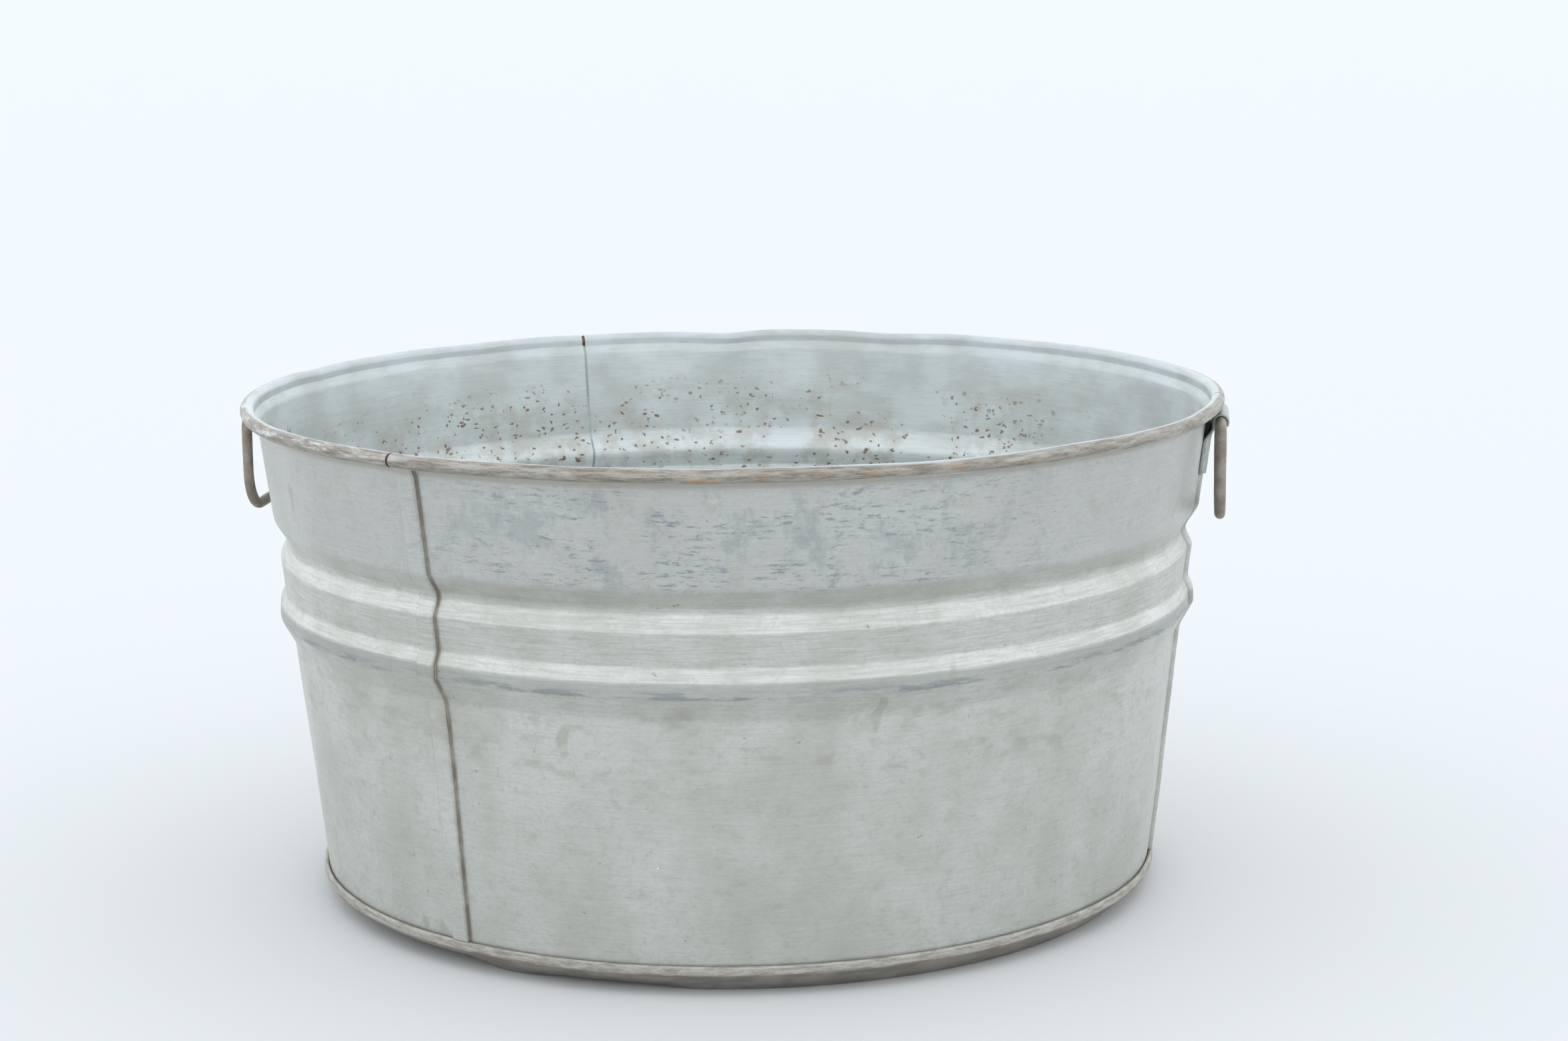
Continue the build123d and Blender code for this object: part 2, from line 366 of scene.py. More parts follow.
def wall_panel(name, number):
    """One body sheet, from the seam at its start to the next seam along."""
    here = math.radians(120 * number) - SEAM_WIDTH / 2 / SEAM_R
    there = here + math.radians(120)
    first = here + HOOK_START / SEAM_R
    last = there + SEAM_START / SEAM_R
    bm = bmesh.new()
    start = stand(bm, wall_path(), first)
    columns = round((last - first) * SEAM_R / COLUMN_STEP)
    geom = list(bm.verts) + start
    spun = bmesh.ops.spin(
        bm, geom=geom, cent=(0, 0, 0), axis=(0, 0, 1), angle=last - first, steps=columns
    )["geom_last"]
    end = new_part(spun, bmesh.types.BMEdge)
    ends = (
        (end, there, SEAM_START, seam_over(), BUTT_OF_END, SEAM_TOPS[(number + 1) % 3]),
        (start, here, HOOK_START, seam_hook(), BUTT_OF_START, SEAM_TOPS[number]),
    )
    for edges, angle, begin, lock, butt, top in ends:
        follow(bm, between(edges, SEAM_FOOT, top), lock, angle, begin)
        follow(bm, between(edges, 0.0, SEAM_FOOT), [(butt, 0.0)], angle, begin)
        follow(bm, between(edges, top, RIM_Z - ROLL), [(butt, 0.0)], angle, begin)
    roll = between(end, RIM_Z - ROLL, RIM_Z + 2 * ROLL)
    follow(bm, roll, [(ROLL_BUTT, 0.0)], there, SEAM_START)
    middle = (first + last) / 2
    face_outwards(bm, (0.4 * math.cos(middle), 0.4 * math.sin(middle), 0.1))
    age(bm)
    panel = keep(bm, name + "_sheet", "tub", [name])
    thicken(panel, SHEET, finishes=2)
    return panel


PANEL_NODES = ("wall_panel_rear", "wall_panel_left", "wall_panel_front")
panels = [wall_panel(node, number) for number, node in enumerate(PANEL_NODES)]

# %% [markdown]
# The tub was dipped after it was hooked together, so zinc, and later dirt, filled
# the sharp corner where each seam's outer edge meets the next sheet. It is a
# narrow ramp that follows the ribs down the whole seam. Inside, zinc closed the
# gap between the two sheets, so a thin strip lies there just below the surface.

# %% Build the zinc left in the seams
FILL = 0.3 * MM
FILL_REACH = 0.8 * MM
STRIP = 0.15 * MM
STRIP_START = -1.9 * MM
STRIP_END = 0.5 * MM
STRIP_DEPTH = 0.3 * SHEET


def seam_line(number, out):
    """Where a seam starts round the tub, and its upright line moved outwards."""
    angle = math.radians(120 * number) - SEAM_WIDTH / 2 / SEAM_R
    path = [p for p in wall_path()[1:] if p.x > FOOT_R - SHEET]
    covered = [p for p in path if SEAM_FOOT - ROUNDING <= p.y <= SEAM_TOPS[number]]
    return angle, [Vector((p.x + out, p.y)) for p in covered]


def seam_fill(number):
    """The ramp of zinc along one seam's outer edge."""
    high = 2 * LAYER
    angle, line = seam_line(number, high)
    edge = SEAM_WIDTH - SHEET / 2 - FILL
    bm = bmesh.new()
    edges = stand(bm, line, angle + edge / SEAM_R)
    ramp = [(edge + FILL, -0.5 * high), (edge + FILL_REACH, FILL - high)]
    follow(bm, edges, ramp, angle, edge)
    middle = angle + edge / SEAM_R
    face_outwards(bm, (0.4 * math.cos(middle), 0.4 * math.sin(middle), 0.1))
    age(bm)
    piece = keep(bm, f"seam_zinc_{number}", "tub", [])
    thicken(piece, FILL)
    return piece


def seam_filler(number):
    """The strip of zinc that closed the gap between two sheets on the inside."""
    angle, line = seam_line(number, -STRIP_DEPTH)
    bm = bmesh.new()
    edges = stand(bm, line, angle + STRIP_START / SEAM_R)
    follow(bm, edges, [(STRIP_END, 0.0)], angle, STRIP_START)
    bmesh.ops.recalc_face_normals(bm, faces=bm.faces)
    age(bm)
    piece = keep(bm, f"seam_filler_{number}", "tub", [])
    thicken(piece, STRIP)
    return piece


fills = [seam_fill(number) for number in range(3)]
fillers = [seam_filler(number) for number in range(3)]

# %% [markdown]
# ## The rim wire
#
# The wire shows only where two rolls meet, as a rusty gap. It is a ring, so a
# small circle is spun once round the tub and its two ends merged.

# %% Build the rim wire
def full_turn(bm, steps):
    """Spins everything in the bmesh once round the tub's middle and closes it."""
    geom = list(bm.verts) + list(bm.edges)
    bmesh.ops.spin(
        bm, geom=geom, cent=(0, 0, 0), axis=(0, 0, 1), angle=2 * math.pi, steps=steps, use_merge=True
    )
    bmesh.ops.remove_doubles(bm, verts=bm.verts, dist=0.002 * MM)


bm = bmesh.new()
bmesh.ops.create_circle(bm, cap_ends=False, radius=WIRE, segments=16)
bmesh.ops.rotate(bm, verts=bm.verts, cent=(0, 0, 0), matrix=Matrix.Rotation(math.pi / 2, 3, "X"))
bmesh.ops.translate(bm, verts=bm.verts, vec=(RIM_R, 0, RIM_Z))
full_turn(bm, 320)
bmesh.ops.recalc_face_normals(bm, faces=bm.faces)
age(bm)
rim_wire = keep(bm, "rim_wire_rod", "tub", ["rim_wire"])

# %% [markdown]
# ## The bottom pan
#
# The bottom is a shallow dish. Its flat middle is raised a little so that only a
# ring stands on the floor, its side slopes up to the wall, and its edge wraps the
# wall's flange and folds down behind it. That double seam is the thick band round
# the foot. The line runs from the middle to the tucked edge and is spun once.

# %% Build the bottom pan
HEM_R = FOOT_R + FLANGE + LAYER
TUCK_R = FOOT_R + FLANGE - LAYER
HEM_TOP = FLANGE_TOP + LAYER
TUCK_FOOT = 13.9 * MM
SLOPE_TOP = 12.2 * MM
RING_INNER_R = 216.0 * MM
RING_OUTER_R = 240.0 * MM
PANEL_R = 210.8 * MM
PANEL_RISE = 2.6 * MM
PAN_CORNERS = (
    (0.0, PANEL_RISE + SHEET / 2, 0),
    (PANEL_R, PANEL_RISE + SHEET / 2, 8 * MM),
    (RING_INNER_R, SHEET / 2, 8 * MM),
    (RING_OUTER_R, SHEET / 2, 4 * MM),
    (HEM_R, SLOPE_TOP, 2 * MM),
    (HEM_R, HEM_TOP, FOLD_TIGHTNESS * LAYER),
    (TUCK_R, HEM_TOP, FOLD_TIGHTNESS * LAYER),
    (TUCK_R, TUCK_FOOT, 0),
)
bm = bmesh.new()
stand(bm, rounded(PAN_CORNERS), 0.0)
full_turn(bm, 360)
face_outwards(bm, (0, 0, -0.3))
age(bm)
pan = keep(bm, "bottom_pan_sheet", "tub", ["bottom_pan"])
thicken(pan, SHEET, finishes=2)

# %% [markdown]
# ## The drop handles
#
# Each handle is a ring bent from round rod: a straight bar at the top that turns
# in the bracket, two sides, and a wide curved bottom for the fingers. A circle is
# pushed along the straights by extruding and round the bends by spinning, the way
# the rod itself was bent. Its surface is then hammered very slightly.

# %% Sizes of the handles
rod_low, rod_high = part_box("right_drop_handle")
ROD = (rod_high[0] - rod_low[0]) / 2
PIVOT_X = (rod_high[0] + rod_low[0]) / 2
PIVOT_Z = rod_high[2] - ROD
RING_FOOT = rod_low[2] + ROD
RING_SIDE = rod_high[1] - ROD
TOP_BEND = 8 * MM
LOW_BEND = 24 * MM
HAMMERING = 0.14 * MM
PLAIN_BAR = (2 * MM, 8 * MM)
print("pivot", round(PIVOT_X, 4), round(PIVOT_Z, 4), "ring half width", round(RING_SIDE, 4))


# %% Build the handles
def push(bm, edges, vec):
    """Extrudes a ring of edges along a straight, in steps of a few millimetres."""
    steps = math.ceil(Vector(vec).length / (3 * MM))
    for _ in range(steps):
        made = bmesh.ops.extrude_edge_only(bm, edges=edges)["geom"]
        verts = new_part(made, bmesh.types.BMVert)
        bmesh.ops.translate(bm, verts=verts, vec=Vector(vec) / steps)
        kept = set(verts)
        edges = [e for e in new_part(made, bmesh.types.BMEdge) if kept.issuperset(e.verts)]
    return edges


def bend(bm, edges, centre, radius):
    """Turns a ring of edges a quarter turn downwards or back, about an X axis."""
    verts = list({v for e in edges for v in e.verts})
    steps = math.ceil(math.pi / 2 * radius / (2.5 * MM))
    made = bmesh.ops.spin(
        bm, geom=verts + edges, cent=centre, axis=(1, 0, 0), angle=-math.pi / 2, steps=steps
    )["geom_last"]
    return new_part(made, bmesh.types.BMEdge)


def drop_handle(name, body, node, side):
    """A ring of rod on the +X side, or turned to the -X side."""
    bm = bmesh.new()
    bmesh.ops.create_circle(bm, cap_ends=False, radius=ROD, segments=24)
    bmesh.ops.rotate(bm, verts=bm.verts, cent=(0, 0, 0), matrix=Matrix.Rotation(math.pi / 2, 3, "X"))
    top = RING_SIDE - TOP_BEND
    low = RING_SIDE - LOW_BEND
    down = PIVOT_Z - TOP_BEND - (RING_FOOT + LOW_BEND)
    bmesh.ops.translate(bm, verts=bm.verts, vec=(PIVOT_X, -top, PIVOT_Z))
    edges = push(bm, list(bm.edges), (0, 2 * top, 0))
    edges = bend(bm, edges, (PIVOT_X, top, PIVOT_Z - TOP_BEND), TOP_BEND)
    edges = push(bm, edges, (0, 0, -down))
    edges = bend(bm, edges, (PIVOT_X, low, RING_FOOT + LOW_BEND), LOW_BEND)
    edges = push(bm, edges, (0, -2 * low, 0))
    edges = bend(bm, edges, (PIVOT_X, -low, RING_FOOT + LOW_BEND), LOW_BEND)
    edges = push(bm, edges, (0, 0, down))
    bend(bm, edges, (PIVOT_X, -top, PIVOT_Z - TOP_BEND), TOP_BEND)
    bmesh.ops.remove_doubles(bm, verts=bm.verts, dist=ROUNDING)
    bmesh.ops.recalc_face_normals(bm, faces=bm.faces)
    # The bar stays true where it turns in the bracket.
    for vert in bm.verts:
        free = smooth(PIVOT_Z - vert.co.z, *PLAIN_BAR)
        dent = noise.noise(vert.co * 90.0 + Vector((side, 0, 0))) - 0.3
        vert.co += vert.normal * dent * HAMMERING * free
    turn = Matrix.Rotation(0 if side > 0 else math.pi, 3, "Z")
    bmesh.ops.rotate(bm, verts=bm.verts, cent=(0, 0, 0), matrix=turn)
    return keep(bm, name, body, [node])


handles = [
    drop_handle("right_handle_rod", "right_handle", "right_drop_handle", 1),
    drop_handle("left_handle_rod", "left_handle", "left_drop_handle", -1),
]

# %% [markdown]
# ## The brackets
#
# A bracket is one strip of plate. Its foot is riveted to the wall, its middle is
# pressed out as a channel that clears the seam behind it, and its top is curled
# over the handle's bar. A single line, foot to curl, is extruded across the strip
# in steps, and each point of the foot is then moved to lie on the wall or out on
# the channel, so the pressing has soft shoulders.

# %% Build the brackets
PLATE = 1.3 * MM
CURL = ROD + 0.35 * MM + PLATE / 2
CURL_TURN = math.radians(215)
PLATE_HALF = 24 * MM
PLATE_FOOT = 250 * MM
PLATE_BEND = 271 * MM
LEG_FOOT = 280 * MM
PLATE_CORNER = 9 * MM
PAD_GAP = 0.2 * MM
CHANNEL_RISE = 2.7 * MM
CHANNEL_SHOULDER = (7.0 * MM, 10.0 * MM)


def band_radius(z):
    """The outer radius of the wall's upper band at a height."""
    up = (z - BAND_FOOT.y) / (BAND_TOP.y - BAND_FOOT.y)
    return BAND_FOOT.x + (BAND_TOP.x - BAND_FOOT.x) * up


def plate_place(co):
    """Where a point of the bracket's foot lies: on the wall, or out on the channel."""
    x, y, z = co
    if z > LEG_FOOT or x > PIVOT_X - CURL + ROUNDING:
        return co
    down = min(1.0, max(0.0, (z - PLATE_FOOT) / PLATE_CORNER))
    width = PLATE_HALF - PLATE_CORNER * (1 - math.sqrt(1 - (1 - down) ** 2))
    y *= width / PLATE_HALF
    channel = 1 - smooth(abs(y), *CHANNEL_SHOULDER)
    wall_x = math.sqrt(band_radius(z) ** 2 - y * y)
    pad_x = wall_x + PAD_GAP + PLATE / 2 + CHANNEL_RISE * channel
    up = smooth(z, PLATE_BEND, LEG_FOOT)
    return Vector((pad_x + (x - pad_x) * up, y, z))


def bracket(name, node, side):
    """One bracket on the +X side, or turned to the -X side."""
    leg = PIVOT_X - CURL
    rows = 22
    path = [Vector((leg, PLATE_FOOT + (PIVOT_Z - PLATE_FOOT) * k / rows)) for k in range(rows + 1)]
    path += arc(PIVOT_X, PIVOT_Z, CURL, math.pi, -CURL_TURN, 24)
    bm = bmesh.new()
    edges = stand(bm, path, 0.0)
    bmesh.ops.translate(bm, verts=bm.verts, vec=(0, -PLATE_HALF, 0))
    columns = 40
    for _ in range(columns):
        made = bmesh.ops.extrude_edge_only(bm, edges=edges)["geom"]
        verts = new_part(made, bmesh.types.BMVert)
        bmesh.ops.translate(bm, verts=verts, vec=(0, 2 * PLATE_HALF / columns, 0))
        kept = set(verts)
        edges = [e for e in new_part(made, bmesh.types.BMEdge) if kept.issuperset(e.verts)]
    for vert in bm.verts:
        vert.co = plate_place(vert.co)
    face_outwards(bm, (0.4, 0, PLATE_FOOT))
    turn = Matrix.Rotation(0 if side > 0 else math.pi, 3, "Z")
    bmesh.ops.rotate(bm, verts=bm.verts, cent=(0, 0, 0), matrix=turn)
    piece = keep(bm, name, "tub", [node])
    thicken(piece, PLATE)
    return piece


brackets = [
    bracket("right_bracket_plate", "right_bracket", 1),
    bracket("left_bracket_plate", "left_bracket", -1),
]

# %% [markdown]
# ## The rivets
#
# Four rivets hold each bracket. Outside they have domed heads, and inside a
# smaller, flatter hammered tail. Both are the same shape at two sizes: an arc
# turned once about the rivet's own axis and set down on the plate or the wall.

# %% Build the rivets
RIVET_SPREAD = 16 * MM
RIVET_HEIGHTS = (256 * MM, 267 * MM)
HEAD = (4.4 * MM, 1.6 * MM)
TAIL = (3.6 * MM, 1.0 * MM)
RIVET_HAMMERING = 0.18
LEAN = math.atan2(BAND_TOP.x - BAND_FOOT.x, BAND_TOP.y - BAND_FOOT.y)


def button(bm, radius, rise, place):
    """A closed dome on a flat base, with a hammered face, put where place says."""
    ball = (radius**2 + rise**2) / (2 * rise)
    sweep = math.asin(radius / ball)
    line = [Vector((0, 0)), Vector((radius, 0))]
    line += arc(0, rise - ball, ball, math.pi / 2 - sweep, sweep, 6)
    part = bmesh.new()
    stand(part, line, 0.0)
    full_turn(part, 24)
    bmesh.ops.recalc_face_normals(part, faces=part.faces)
    for vert in part.verts:
        vert.co.z *= 1 + RIVET_HAMMERING * noise.noise(vert.co * 600.0 + place.translation * 50.0)
    bmesh.ops.transform(part, matrix=place, verts=part.verts)
    mesh = bpy.data.meshes.new("rivet")
    part.to_mesh(mesh)
    part.free()
    bm.from_mesh(mesh)
    bpy.data.meshes.remove(mesh)


def rivets(name, node, side):
    """The heads and tails of one bracket's four rivets."""
    bm = bmesh.new()
    for z in RIVET_HEIGHTS:
        for across in (-RIVET_SPREAD, RIVET_SPREAD):
            angle = math.asin(across / band_radius(z)) + (0 if side > 0 else math.pi)
            stand_out = Matrix.Rotation(angle, 4, "Z") @ Matrix.Rotation(math.pi / 2 + LEAN, 4, "Y")
            axis = stand_out.to_3x3() @ Vector((0, 0, 1))
            wall = Matrix.Rotation(angle, 4, "Z") @ Vector((band_radius(z), 0, z))
            over = Matrix.Translation(wall + axis * (PAD_GAP + PLATE))
            under = Matrix.Translation(wall - axis * SHEET)
            button(bm, *HEAD, over @ stand_out)
            button(bm, *TAIL, under @ stand_out @ Matrix.Rotation(math.pi, 4, "X"))
    return keep(bm, name, "tub", [node])


rivet_sets = [rivets("right_rivet_heads", "right_rivets", 1), rivets("left_rivet_heads", "left_rivets", -1)]

# %% [markdown]
# ## Colours and nodes
#
# Colours are written as the hex values that a paint chart would give and turned
# to the linear values that the shader works in. One helper adds any node: values
# in order fill its inputs, named ones fill an input or a setting by name, and a
# node or socket given as a value is linked.

# %% Helpers for finishes
def colour(code):
    """An sRGB hex colour as linear RGBA."""
    parts = [int(code[i:i + 2], 16) / 255 for i in (1, 3, 5)]
    linear = [c / 12.92 if c <= 0.04045 else ((c + 0.055) / 1.055) ** 2.4 for c in parts]
    return (*linear, 1.0)


def first_open(sockets, name=None):
    """The first socket in use, or the first one in use of that name."""
    return next((s for s in sockets if not s.is_unavailable and name in (None, s.name)), None)


def fill(tree, socket, value):
    """Sets a socket to a value, or links it to a node or another socket."""
    if isinstance(value, bpy.types.Node):
        value = first_open(value.outputs)
    if isinstance(value, bpy.types.NodeSocket):
        tree.links.new(value, socket)
    else:
        socket.default_value = value


def add(tree, kind, *values, **named):
    """Adds a shader node with its settings, values and links."""
    node = tree.nodes.new("ShaderNode" + kind)
    sockets = {}
    for name, value in named.items():
        if hasattr(node, name):
            setattr(node, name, value)
        else:
            sockets[name.replace("_", " ")] = value
    for name, value in sockets.items():
        fill(tree, first_open(node.inputs, name), value)
    used = [s for s in node.inputs if not s.is_unavailable]
    for socket, value in zip(used, values):
        fill(tree, socket, value)
    return node


def finish_of(name):
    """A new material with nothing in it but its output."""
    material = bpy.data.materials.new(name)
    material.use_nodes = True
    tree = material.node_tree
    tree.nodes.clear()
    return material, tree


# %% [markdown]
# ## Patterns that several finishes share
#
# Old zinc has three scales of marks. Clouds, a few centimetres wide, come from
# the way the dip drained and dulled. Fine lines, from scrubbing round and round,
# are really a tenth of a millimetre high. They are drawn over a millimetre high,
# and a few centimetres long, so that they show. Spots come from rust and drips.
# Each is one pattern with a size in millimetres, and a mask turns it into a share
# from 0 to 1.

# %% Patterns
def where(tree, stretch=(1, 1, 1)):
    """Object coordinates, with each axis stretched or squeezed."""
    spot = add(tree, "TexCoord")
    return add(tree, "Mapping", Vector=spot.outputs["Object"], Scale=stretch)


def clouds(tree, size_mm, stretch=(1, 1, 1), detail=4.0, rough=0.55):
    """Soft noise whose features are about that many millimetres across."""
    return add(
        tree, "TexNoise", Vector=where(tree, stretch), Scale=1000 / size_mm, Detail=detail, Roughness=rough
    )


def height_of(tree):
    """The height on the object, in metres."""
    spot = add(tree, "TexCoord")
    split = add(tree, "SeparateXYZ", spot.outputs["Object"])
    return split.outputs["Z"]


def way_round(tree):
    """The angle round the tub in radians. It jumps behind the lock seam at the rear left."""
    spot = add(tree, "TexCoord")
    turned = add(tree, "Mapping", Vector=spot.outputs["Object"], Rotation=(0, 0, math.radians(60)))
    split = add(tree, "SeparateXYZ", turned)
    return add(tree, "Math", split.outputs["Y"], split.outputs["X"], operation="ARCTAN2")


def way_out(tree):
    """The distance from the tub's upright middle line, in metres."""
    away = add(tree, "VectorMath", where(tree, (1, 1, 0)), operation="LENGTH")
    return away.outputs["Value"]


def streaks(tree, size_mm, longer, detail=6.0, rough=0.7):
    """Noise drawn out round the tub: its place is the way round, the way out and the height."""
    along = add(tree, "Math", way_round(tree), RIM_R / longer, operation="MULTIPLY")
    place = add(tree, "CombineXYZ", along, way_out(tree), height_of(tree))
    return add(tree, "TexNoise", Vector=place, Scale=1000 / size_mm, Detail=detail, Roughness=rough)


def beside_seams(tree, at_mm, wide_mm):
    """A mask along every seam, that many millimetres round from its middle."""
    third = math.radians(120)
    turn = add(tree, "Math", way_round(tree), third, 0.0, operation="WRAP")
    middle = third / 2 + at_mm * MM / SEAM_R
    off = add(tree, "Math", turn, middle, operation="SUBTRACT")
    off = add(tree, "Math", off, operation="ABSOLUTE")
    return share(tree, off, wide_mm * MM / SEAM_R, 0.1 * wide_mm * MM / SEAM_R)


def share(tree, pattern, low, high):
    """A mask that is 0 where the pattern is at low and 1 where it is at high."""
    return add(tree, "MapRange", pattern, low, high, 0.0, 1.0, interpolation_type="SMOOTHSTEP")


def belt(tree, low_mm, high_mm, soft_mm):
    """A mask that is 1 between two heights, with soft edges."""
    z = height_of(tree)
    up = share(tree, z, (low_mm - soft_mm) * MM, (low_mm + soft_mm) * MM)
    down = share(tree, z, (high_mm + soft_mm) * MM, (high_mm - soft_mm) * MM)
    return times(tree, up, down)


def times(tree, *masks):
    """Masks multiplied together."""
    result = masks[0]
    for mask in masks[1:]:
        result = add(tree, "Math", result, mask, operation="MULTIPLY")
    return result


def near(tree, centre, reach_mm):
    """A mask that is 1 at a place on the object and fades to 0 at a distance."""
    spot = add(tree, "TexCoord")
    distance = add(tree, "VectorMath", spot.outputs["Object"], centre, operation="DISTANCE")
    return share(tree, distance.outputs["Value"], reach_mm * MM, 0.3 * reach_mm * MM)


def blotch(tree, under, over, mask):
    """One colour laid over another by a mask."""
    return add(tree, "Mix", Factor=mask, A=under, B=over, data_type="RGBA")


def spots(tree, cell_mm, size, kept, stretch=(1, 1, 1)):
    """Spots with ragged edges, one to a cell and only in some cells; size is a share of the cell."""
    place = where(tree, stretch)
    ragged = add(tree, "TexNoise", Vector=place, Scale=1500 / cell_mm, Detail=3.0)
    shifted = add(
        tree, "VectorMath", ragged.outputs["Color"], (0.0012 * cell_mm,) * 3, place,
        operation="MULTIPLY_ADD",
    )
    cells = add(tree, "TexVoronoi", Vector=shifted, Scale=1000 / cell_mm)
    dot = share(tree, cells.outputs["Distance"], size, size * 0.55)
    pick = add(tree, "SeparateColor", cells.outputs["Color"])
    chosen = add(tree, "Math", pick.outputs[0], kept, operation="LESS_THAN")
    return times(tree, dot, chosen)


def worn_metal(tree, tint, roughness, bump, metallic):
    """The shader of every finish here: dull metal with its colour, gloss and relief."""
    shader = add(
        tree, "BsdfPrincipled", Base_Color=tint, Metallic=metallic, Roughness=roughness, Normal=bump
    )
    add(tree, "OutputMaterial", Surface=shader.outputs["BSDF"])


# %% [markdown]
# ## Galvanised sheet, outside
#
# The sheet was dipped in zinc, which has dulled to a soft blue grey that spreads
# highlights wide along the ribs. Scrubbing left fine lines round the tub. Brown
# water marks lie in the grooves, and the band is scuffed dark where other tubs
# were stacked on it. The metal is drawn only partly metallic, because a zinc
# patina scatters light like chalk.

# %% The outside of the wall
def scuffs(tree):
    """Where the upper band is scuffed: soft smears with short dark flecks along them."""
    place = times(tree, belt(tree, 229, 286, 5), near(tree, (0.04, -0.28, 0.25), 260))
    smear = share(tree, clouds(tree, 22, (1, 1, 0.8), 9.0, 0.75), 0.50, 0.62)
    patch = share(tree, clouds(tree, 34, (1, 1, 1.5), 4.0, 0.6), 0.44, 0.58)
    fleck = share(tree, streaks(tree, 1.8, 5, 8.0, 0.75), 0.52, 0.60)
    flecks = times(tree, patch, fleck)
    marks = add(tree, "Math", flecks, times(tree, smear, 0.45), operation="MAXIMUM")
    return times(tree, place, marks)


def dulled_zinc(tree):
    """The clouded grey of the whole wall, a little bluer on the upper band, with smudges."""
    cloud = share(tree, clouds(tree, 45, (1, 1, 0.7)), 0.35, 0.68)
    tint = blotch(tree, colour("#C5C7C1"), colour("#B8B9B1"), cloud)
    tint = blotch(tree, tint, colour("#B6B8B5"), times(tree, belt(tree, 226, 300, 6), 0.7))
    smudge = times(tree, share(tree, clouds(tree, 9, (1, 1, 1.3), 8.0, 0.75), 0.50, 0.70), 0.45)
    return blotch(tree, tint, colour("#A29D90"), smudge)


def scrubbed(tree, tint, lines):
    """Dark and pale lines round the tub, and a fine mottle; the lines are real, and are drawn stronger on
    the ribs as painted highlight streaks.
    """
    # Painted highlight: the lines are laid on more strongly over the ribs, where they stand in for streaks
    # in the rib highlights.
    ribs = add(tree, "MapRange", belt(tree, 168, 222, 5), 0.0, 1.0, 0.20, 0.45)
    tint = blotch(tree, tint, colour("#9FA09A"), times(tree, share(tree, lines, 0.54, 0.36), ribs))
    tint = blotch(tree, tint, colour("#D6D9D7"), times(tree, share(tree, lines, 0.52, 0.72), ribs))
    mottle = share(tree, clouds(tree, 3.2, (1, 1, 1.6), 5.0, 0.7), 0.46, 0.66)
    return blotch(tree, tint, colour("#A9A9A1"), times(tree, mottle, 0.35))


def water_marks_and_rib_shade(tree, tint):
    """Brown in the groove and below the lower rib, painted grey shade along the rib's under edge and in its
    crease, and a few drips.
    """
    groove = times(tree, belt(tree, 216, 229, 3), share(tree, clouds(tree, 24, (1, 1, 2)), 0.3, 0.7), 0.25)
    tint = blotch(tree, tint, colour("#A19C8D"), groove)
    below = times(tree, belt(tree, 120, 171, 9), share(tree, clouds(tree, 20, (1, 1, 2)), 0.5, 0.72), 0.4)
    tint = blotch(tree, tint, colour("#9C978B"), below)
    # Painted shade: grey laid evenly over the lower half of the lower rib.
    tint = blotch(tree, tint, colour("#8F918C"), times(tree, belt(tree, 172, 179, 1.5), 0.55))
    # Painted shade: a darker, streaky grey line in the crease along the lower rib's under edge.
    crease_shade = times(tree, belt(tree, 170.5, 175, 1.2), share(tree, streaks(tree, 5, 7), 0.48, 0.60), 0.7)
    tint = blotch(tree, tint, colour("#7F8688"), crease_shade)
    return blotch(tree, tint, colour("#A29E92"), times(tree, spots(tree, 42, 0.20, 0.30, (1, 1, 0.6)), 0.5))


def wear_dirt_and_shade(tree, tint):
    """Scuffs, brown and white specks, darker patchy strips along both edges of the seams, and painted shade
    under the roll.
    """
    tint = blotch(tree, tint, colour("#78828A"), times(tree, scuffs(tree), 0.75))
    tint = blotch(tree, tint, colour("#7F7263"), times(tree, spots(tree, 9, 0.11, 0.16), 0.6))
    tint = blotch(tree, tint, colour("#EEF0F0"), times(tree, spots(tree, 19, 0.03, 0.12), 0.8))
    worn = share(tree, clouds(tree, 12), 0.30, 0.60)
    # Darker patchy strips along both edges of each seam.
    tint = blotch(tree, tint, colour("#8E887D"), times(tree, beside_seams(tree, -7.6, 1.5), worn, 0.6))
    tint = blotch(tree, tint, colour("#8F887B"), times(tree, beside_seams(tree, 6.2, 2.6), worn, 0.6))
    # Painted shade: a brownish strip on the neck just under the roll.
    return blotch(tree, tint, colour("#9B9487"), times(tree, belt(tree, 286, 290, 1.5), 0.5))


def outside_finish():
    """Dulled zinc: a satin grey whose brushed lines and soft relief break up the highlights."""
    material, tree = finish_of("galvanised steel, dulled outside")
    lines = streaks(tree, 1.3, 22, 5.0, 0.75)
    tint = scrubbed(tree, dulled_zinc(tree), lines)
    tint = wear_dirt_and_shade(tree, water_marks_and_rib_shade(tree, tint))
    gloss = add(tree, "MapRange", clouds(tree, 35), 0.3, 0.7, 0.34, 0.46)
    brushed = add(tree, "Bump", Height=lines, Strength=0.3, Distance=0.06 * MM)
    relief = add(tree, "Bump", Height=clouds(tree, 25), Strength=0.5, Distance=0.5 * MM, Normal=brushed)
    worn_metal(tree, tint, gloss, relief, 0.7)
    return material


outside = outside_finish()
print(outside.name, len(outside.node_tree.nodes), "nodes")

# %% [markdown]
# ## Galvanised sheet, inside
#
# Inside, water has kept the zinc bluer and smoother, and has eaten pits through
# it. The pits are small, dark and rusty, and crowd together on the side that
# stayed wet. The roll turns this face outwards round the wire, so the rim's wear
# belongs here: a streaky brown, with some zinc left on the left side.

